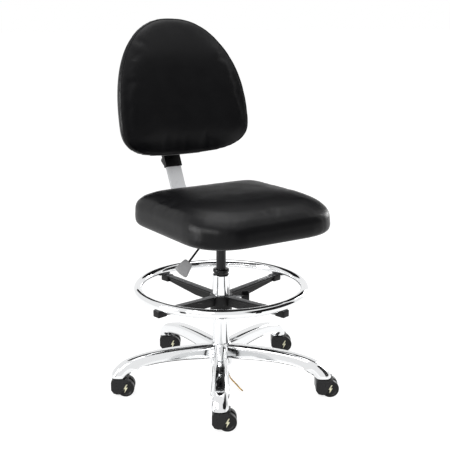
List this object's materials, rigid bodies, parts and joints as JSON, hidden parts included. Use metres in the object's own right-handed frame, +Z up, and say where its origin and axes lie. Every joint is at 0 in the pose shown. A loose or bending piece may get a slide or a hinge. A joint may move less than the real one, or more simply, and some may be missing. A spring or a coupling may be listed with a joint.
{
  "type": "drafting chair",
  "caption": "Padded drafting chair with a shaped back on a flat upright, chromed footring on the lift column, five-arm base with twin-wheel casters and a drag chain.",
  "frame": {"origin": "on the floor, under the middle of the chair's box", "axes": "+Z up, the sitter faces -Y, the height lever is on the sitter's right, at -X"},
  "size_m": [0.6631, 0.6361, 1.0519],
  "materials": {
    "vinyl": "black grained vinyl over foam",
    "plywood": "moulded plywood with a black dust cover below",
    "back_shell": "black moulded shell",
    "grey_paint": "light grey powder coat",
    "black_steel": "black powder coat",
    "chrome": "bright chrome plate",
    "aluminium": "polished die casting",
    "casting": "black paint, worn grey on the flat tops",
    "steel": "zinc plate",
    "plastic": "moulded black plastic",
    "grey_plastic": "moulded grey plastic",
    "hood_nylon": "moulded charcoal nylon",
    "wheel": "conductive wheel",
    "brass": "dulled brass beads"
  },
  "bodies": {
    "base": {"base_star": "aluminium", "caster_1_stem": "steel", "caster_2_stem": "steel", "caster_3_stem": "steel", "caster_4_stem": "steel", "caster_5_stem": "steel", "outer_column": "chrome", "column_collar": "plastic", "thrust_bearing": "steel", "chain_screw_eye": "steel", "drag_chain": "brass"},
    "caster_1": {"caster_1_hood": "hood_nylon", "caster_1_axle": "steel"},
    "caster_1_left": {"caster_1_wheel_left": "wheel"},
    "caster_1_right": {"caster_1_wheel_right": "wheel"},
    "caster_2": {"caster_2_hood": "hood_nylon", "caster_2_axle": "steel"},
    "caster_2_left": {"caster_2_wheel_left": "wheel"},
    "caster_2_right": {"caster_2_wheel_right": "wheel"},
    "caster_3": {"caster_3_hood": "hood_nylon", "caster_3_axle": "steel"},
    "caster_3_left": {"caster_3_wheel_left": "wheel"},
    "caster_3_right": {"caster_3_wheel_right": "wheel"},
    "caster_4": {"caster_4_hood": "hood_nylon", "caster_4_axle": "steel"},
    "caster_4_left": {"caster_4_wheel_left": "wheel"},
    "caster_4_right": {"caster_4_wheel_right": "wheel"},
    "caster_5": {"caster_5_hood": "hood_nylon", "caster_5_axle": "steel"},
    "caster_5_left": {"caster_5_wheel_left": "wheel"},
    "caster_5_right": {"caster_5_wheel_right": "wheel"},
    "lift_rod": {"piston_rod": "steel", "retaining_clip": "steel"},
    "seat": {"gas_cylinder": "black_steel", "seat_mechanism": "black_steel", "seat_board": "plywood", "seat_cushion": "vinyl", "lever_pin": "steel"},
    "lever": {"height_lever": "black_steel", "lever_paddle": "grey_plastic"},
    "button": {"release_button": "steel"},
    "back_arm": {"back_upright": "grey_paint"},
    "seat_clamp": {"depth_knob": "plastic", "depth_knob_stud": "steel"},
    "backrest": {"back_sleeve": "black_steel", "back_board": "back_shell", "back_cushion": "vinyl"},
    "back_clamp": {"back_knob": "plastic", "back_knob_stud": "steel"},
    "footring": {"footring_tube": "chrome", "footring_spider": "casting", "ring_collet": "plastic", "ring_screw_1": "steel", "ring_screw_2": "steel", "ring_screw_3": "steel", "ring_screw_4": "steel"},
    "ring_clamp": {"ring_knob": "plastic", "ring_knob_stud": "steel"}
  },
  "joints": [
    {"name": "caster_1_swivel", "type": "hinge", "parent": "base", "child": "caster_1", "pos_m": [-0.17663, -0.27551, 0.05], "axis": [0, 0, 1], "continuous": true},
    {"name": "caster_1_left_roll", "type": "hinge", "parent": "caster_1", "child": "caster_1_left", "pos_m": [-0.15989, -0.28646, 0.025], "axis": [0.5476, 0.8368, 0], "continuous": true},
    {"name": "caster_1_right_roll", "type": "hinge", "parent": "caster_1", "child": "caster_1_right", "pos_m": [-0.15989, -0.28646, 0.025], "axis": [0.5476, 0.8368, 0], "continuous": true},
    {"name": "caster_2_swivel", "type": "hinge", "parent": "base", "child": "caster_2", "pos_m": [0.18403, -0.26229, 0.05], "axis": [0, 0, 1], "continuous": true},
    {"name": "caster_2_left_roll", "type": "hinge", "parent": "caster_2", "child": "caster_2_left", "pos_m": [0.20077, -0.27324, 0.025], "axis": [0.5476, 0.8368, 0], "continuous": true},
    {"name": "caster_2_right_roll", "type": "hinge", "parent": "caster_2", "child": "caster_2_right", "pos_m": [0.20077, -0.27324, 0.025], "axis": [0.5476, 0.8368, 0], "continuous": true},
    {"name": "caster_3_swivel", "type": "hinge", "parent": "base", "child": "caster_3", "pos_m": [0.2829, 0.0848, 0.05], "axis": [0, 0, 1], "continuous": true},
    {"name": "caster_3_left_roll", "type": "hinge", "parent": "caster_3", "child": "caster_3_left", "pos_m": [0.29964, 0.07385, 0.025], "axis": [0.5476, 0.8368, 0], "continuous": true},
    {"name": "caster_3_right_roll", "type": "hinge", "parent": "caster_3", "child": "caster_3_right", "pos_m": [0.29964, 0.07385, 0.025], "axis": [0.5476, 0.8368, 0], "continuous": true},
    {"name": "caster_4_swivel", "type": "hinge", "parent": "base", "child": "caster_4", "pos_m": [-0.01665, 0.28609, 0.05], "axis": [0, 0, 1], "continuous": true},
    {"name": "caster_4_left_roll", "type": "hinge", "parent": "caster_4", "child": "caster_4_left", "pos_m": [0.00009, 0.27514, 0.025], "axis": [0.5476, 0.8368, 0], "continuous": true},
    {"name": "caster_4_right_roll", "type": "hinge", "parent": "caster_4", "child": "caster_4_right", "pos_m": [0.00009, 0.27514, 0.025], "axis": [0.5476, 0.8368, 0], "continuous": true},
    {"name": "caster_5_swivel", "type": "hinge", "parent": "base", "child": "caster_5", "pos_m": [-0.30065, 0.06341, 0.05], "axis": [0, 0, 1], "continuous": true},
    {"name": "caster_5_left_roll", "type": "hinge", "parent": "caster_5", "child": "caster_5_left", "pos_m": [-0.28392, 0.05245, 0.025], "axis": [0.5476, 0.8368, 0], "continuous": true},
    {"name": "caster_5_right_roll", "type": "hinge", "parent": "caster_5", "child": "caster_5_right", "pos_m": [-0.28392, 0.05245, 0.025], "axis": [0.5476, 0.8368, 0], "continuous": true},
    {"name": "seat_swivel", "type": "hinge", "parent": "base", "child": "lift_rod", "pos_m": [-0.0054, -0.0207, 0.06], "axis": [0, 0, 1], "continuous": true},
    {"name": "seat_height", "type": "slide", "parent": "lift_rod", "child": "seat", "axis": [0, 0, 1], "range_m": [-0.04, 0.14]},
    {"name": "height_lever_lift", "type": "hinge", "parent": "seat", "child": "lever", "pos_m": [-0.0394, -0.0207, 0.4603], "axis": [0, 1, 0], "range_deg": [0, 6], "stiffness_Nm_per_rad": 1.2, "springref_deg": -8.59},
    {"name": "release_button_press", "type": "slide", "parent": "seat", "child": "button", "axis": [0, 0, -1], "range_m": [0, 0.0041], "stiffness_N_per_m": 800, "springref_m": -0.004},
    {"name": "seat_depth", "type": "slide", "parent": "seat", "child": "back_arm", "axis": [0, 1, 0], "range_m": [-0.012, 0.038]},
    {"name": "depth_knob_turn", "type": "hinge", "parent": "seat", "child": "seat_clamp", "pos_m": [-0.0054, 0.0573, 0.4508], "axis": [0, 0, -1], "range_deg": [0, 540]},
    {"name": "back_height", "type": "slide", "parent": "back_arm", "child": "backrest", "axis": [0, 0.4305, 0.9026], "range_m": [-0.04, 0.07]},
    {"name": "back_knob_turn", "type": "hinge", "parent": "backrest", "child": "back_clamp", "pos_m": [-0.0054, 0.27485, 0.62787], "axis": [0, 0.9026, -0.4305], "range_deg": [0, 540]},
    {"name": "footring_height", "type": "slide", "parent": "base", "child": "footring", "axis": [0, 0, 1], "range_m": [-0.08, 0.01]},
    {"name": "ring_knob_turn", "type": "hinge", "parent": "footring", "child": "ring_clamp", "pos_m": [0.04397, -0.05301, 0.264], "axis": [0.8368, -0.5476, 0], "range_deg": [0, 540]}
  ],
  "couplings": [
    {"joint": "release_button_press", "follows": "height_lever_lift", "m_per_rad": 0.038}
  ]
}
